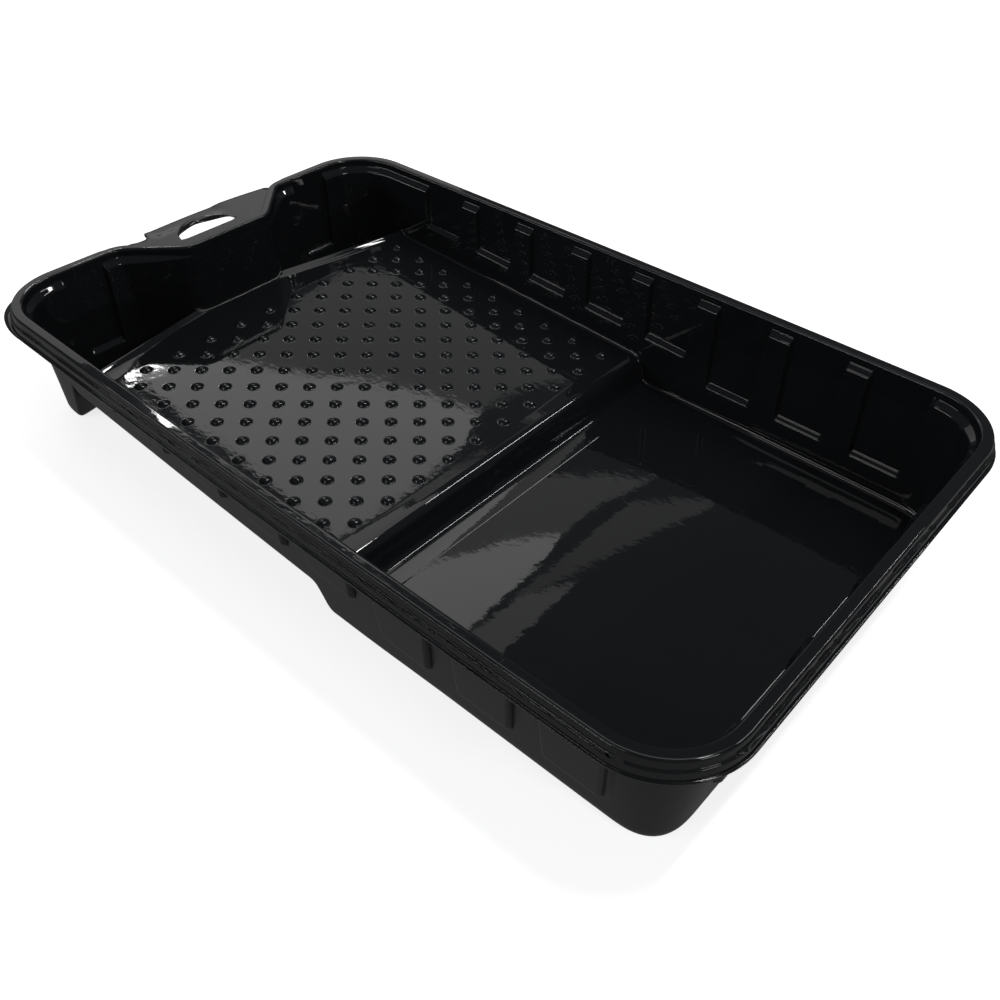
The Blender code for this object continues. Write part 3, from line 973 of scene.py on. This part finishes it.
def black_plastic():
    """Glossy black formed sheet: rippled, lightly scuffed, satin on the mould side."""
    g = Graph("gloss_black_plastic")
    place = g.node("ShaderNodeTexCoord").outputs["Object"]
    under = g.node("ShaderNodeAttribute", attribute_name="underside").outputs["Fac"]

    tone = g.noise(place, 18.0, 3.0)
    mix = g.node("ShaderNodeMix", data_type="RGBA")
    mix.inputs["A"].default_value = (0.0095, 0.0103, 0.0114, 1)
    mix.inputs["B"].default_value = (0.0125, 0.0135, 0.0148, 1)
    g.link(tone, mix.inputs["Factor"])
    g.link(mix.outputs["Result"], g.shader.inputs["Base Color"])

    blotch = g.ranged(g.noise(place, 42.0, 4.0, 0.6), 0.42, 0.68, 0.0, 0.022)
    hair = g.noise(g.stretched(place, (30.0, 1100.0, 30.0), 0.5), 1.0, 2.0)
    cross = g.noise(g.stretched(place, (900.0, 24.0, 24.0), -0.3), 1.0, 2.0)
    scuff = g.math("MAXIMUM", g.ranged(hair, 0.66, 0.78, 0.0, 0.10), g.ranged(cross, 0.68, 0.80, 0.0, 0.08))
    worn = g.ranged(g.noise(place, 9.0, 2.0), 0.45, 0.62, 0.0, 1.0)
    gloss = g.math("ADD", g.math("MULTIPLY", scuff, worn), g.math("ADD", blotch, 0.028))
    g.link(g.math("MAXIMUM", gloss, g.math("MULTIPLY", under, 0.36)), g.shader.inputs["Roughness"])

    ripple = g.noise(place, 11.0, 1.0, 0.5, 0.3)
    wave = g.noise(place, 70.0, 2.0, 0.5, 0.4)
    chatter = g.noise(g.stretched(place, (160.0, 320.0, 160.0), 0.8), 1.0, 2.0, 0.6)
    grain = g.noise(place, 900.0, 2.0)
    height = g.math("ADD", g.math("MULTIPLY", ripple, 0.09), g.math("MULTIPLY", wave, 0.040))
    height = g.math("ADD", height, g.math("MULTIPLY", chatter, 0.016))
    height = g.math("ADD", height, g.math("MULTIPLY", grain, g.math("MULTIPLY", under, 0.02)))
    bump = g.node("ShaderNodeBump")
    bump.inputs["Strength"].default_value = 1.0
    bump.inputs["Distance"].default_value = 0.0011
    g.link(height, bump.inputs["Height"])
    g.link(bump.outputs["Normal"], g.shader.inputs["Normal"])
    g.shader.inputs["IOR"].default_value = 1.5
    return g.material


# --- stage


def glowing(name, points, look):
    """A flat polygon that gives off light, or a floor, kept out of the object."""
    mesh = bpy.data.meshes.new(name)
    mesh.from_pydata(points, [], [tuple(range(len(points)))])
    mesh.materials.append(look)
    made = bpy.data.objects.new(name, mesh)
    bpy.context.scene.collection.objects.link(made)
    return made


def glow(name, strength, base=0.0):
    """A plain material that gives off light."""
    look = bpy.data.materials.new(name)
    look.use_nodes = True
    shader = look.node_tree.nodes["Principled BSDF"]
    shader.inputs["Base Color"].default_value = (base, base, base, 1)
    shader.inputs["Roughness"].default_value = 0.9
    shader.inputs["Emission Color"].default_value = (1, 1, 1, 1)
    shader.inputs["Emission Strength"].default_value = strength
    return look


FLOOR_HALF = 6.0
FLOOR_GAP = 0.002


def add_floor():
    """A pale floor that only the camera sees, and a dimmer one below that the tray mirrors."""
    half = FLOOR_HALF
    square = [(-half, -half), (half, -half), (half, half), (-half, half)]
    floor = glowing("floor", [(x, y, 0.0) for x, y in square], glow("floor_white", 0.78, 0.85))
    floor.visible_glossy = False
    floor.visible_diffuse = False
    dim = glowing("floor_dim", [(x, y, -FLOOR_GAP) for x, y in square], glow("floor_grey", 0.19))
    dim.visible_camera = False


CEILING_Z = 1.6
# Lit patches over the tray: name, brightness, outline on the ceiling. The first four outlines
# were measured: a separate script projected the patches of light in the photograph on to the
# ceiling, and its results were rounded. The tray mirrors these patches
PANELS = (
    (
        "near_panel",
        1.50,
        (
            (-2.02, 0.80), (-1.09, 0.80), (-1.09, 1.10), (-1.12, 1.30), (-1.19, 1.44),
            (-1.42, 1.35), (-1.68, 1.17), (-1.83, 1.07), (-1.97, 1.03),
        ),
    ),
    (
        "far_panel",
        0.42,
        (
            (-1.97, 1.03), (-1.83, 1.07), (-1.68, 1.17), (-1.42, 1.35), (-1.19, 1.44), (-1.18, 1.62),
            (-1.07, 1.82), (-1.41, 1.80), (-1.83, 1.78), (-2.03, 1.68), (-1.95, 1.29),
        ),
    ),
    (
        "well_near_panel",
        0.60,
        ((-1.055, 0.81), (-0.84, 0.81), (-0.85, 0.98), (-0.88, 1.25), (-1.03, 1.11), (-1.055, 0.90)),
    ),
    (
        "well_far_panel",
        0.34,
        (
            (-1.055, 1.08), (-1.02, 1.11), (-0.89, 1.34), (-0.82, 1.50), (-0.67, 1.74),
            (-0.72, 1.76), (-1.055, 1.66),
        ),
    ),
    ("head_panel", 0.65, ((-6.5, 0.2), (-2.45, 0.2), (-2.45, 3.4), (-6.5, 3.4))),
    ("overhead", 1.1, ((-1.9, 0.28), (0.3, 0.28), (0.3, 0.76), (-1.9, 0.76))),
)

# Rectangular lamps, placed by trial for highlights on the edges: name, place, size, brightness
LAMPS = (
    ("lamp_top", (0.45, 0.36, 1.58), (0.13, 0.13), 45.0),
    ("lamp_row", (0.50, 1.30, 1.62), (0.06, 1.10), 40.0),
    ("lamp_deep", (1.53, -0.19, 1.10), (0.40, 0.16), 14.0),
    ("lamp_head", (-2.03, 0.86, 1.60), (0.13, 0.09), 30.0),
    ("window_near", (-1.00, -2.00, 0.62), (2.20, 0.13), 9.0),
    ("window_low", (-0.20, -1.60, 1.62), (1.10, 0.26), 3.0),
)
LAMP_AIM = Vector((0, 0, 0.02))
WORLD_COLOUR = (0.080, 0.083, 0.090, 1)


def add_lamp(name, place, size, brightness):
    """A rectangular light, whose power grows with its brightness and its area."""
    data = bpy.data.lights.new(name, "AREA")
    data.shape = "RECTANGLE"
    data.size, data.size_y = size
    data.energy = brightness * math.pi * size[0] * size[1]
    light = bpy.data.objects.new(name, data)
    light.location = place
    light.rotation_euler = (LAMP_AIM - Vector(place)).to_track_quat("-Z", "Y").to_euler()
    if size[1] > size[0]:  # a long lamp lies level along y
        light.rotation_euler = (0, math.atan2(place[0], place[2]), 0)
    bpy.context.scene.collection.objects.link(light)


def add_lights():
    """A dim world, the lit patches and the lamps."""
    world = bpy.data.worlds.new("studio")
    world.use_nodes = True
    world.node_tree.nodes["Background"].inputs["Color"].default_value = WORLD_COLOUR
    bpy.context.scene.world = world
    for name, brightness, outline in PANELS:
        glowing(name, [(x, y, CEILING_Z) for x, y in outline], glow(name + "_glow", brightness))
    for lamp in LAMPS:
        add_lamp(*lamp)


# Solved by a separate script from points of the photograph
CAMERA_PLACE = (0.2939, -0.2994, 0.3449)
CAMERA_AZIMUTH = math.radians(41.62)
CAMERA_DOWN = math.radians(41.98)
CAMERA_ROLL = math.radians(0.49)
CAMERA_LENS = 35.89
CAMERA_SENSOR = 36.0


def add_camera():
    """The camera, looking down along the tray from beside its deep end."""
    level = math.cos(CAMERA_DOWN)
    forward = Vector(
        (
            -math.sin(CAMERA_AZIMUTH) * level,
            math.cos(CAMERA_AZIMUTH) * level,
            -math.sin(CAMERA_DOWN),
        )
    )
    side = forward.cross(Vector((0, 0, 1))).normalized()
    over = side.cross(forward)
    right = side * math.cos(CAMERA_ROLL) + over * math.sin(CAMERA_ROLL)
    up = over * math.cos(CAMERA_ROLL) - side * math.sin(CAMERA_ROLL)
    turn = Matrix((right, up, -forward)).transposed()
    data = bpy.data.cameras.new("camera")
    data.lens = CAMERA_LENS
    data.sensor_width = CAMERA_SENSOR
    data.clip_start = 0.01
    camera = bpy.data.objects.new("camera", data)
    camera.matrix_world = Matrix.Translation(CAMERA_PLACE) @ turn.to_4x4()
    bpy.context.scene.collection.objects.link(camera)
    bpy.context.scene.camera = camera


def build_tray():
    """The one visible piece, which stands in for every zone of the frame."""
    surface = Surface()
    ring = stations()
    outer_edge, inner_edge = add_sections(surface, ring)
    add_bed(surface, inner_edge)
    add_tab(surface, ring, outer_edge)
    mesh = sheet_mesh(surface)
    mesh.materials.append(black_plastic())
    tray = bpy.data.objects.new("tray_sheet", mesh)
    bpy.context.scene.collection.objects.link(tray)
    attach(tray, "root")
    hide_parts(*ZONES)


build_tray()
add_floor()
add_lights()
add_camera()
bpy.context.scene.view_settings.view_transform = "Standard"
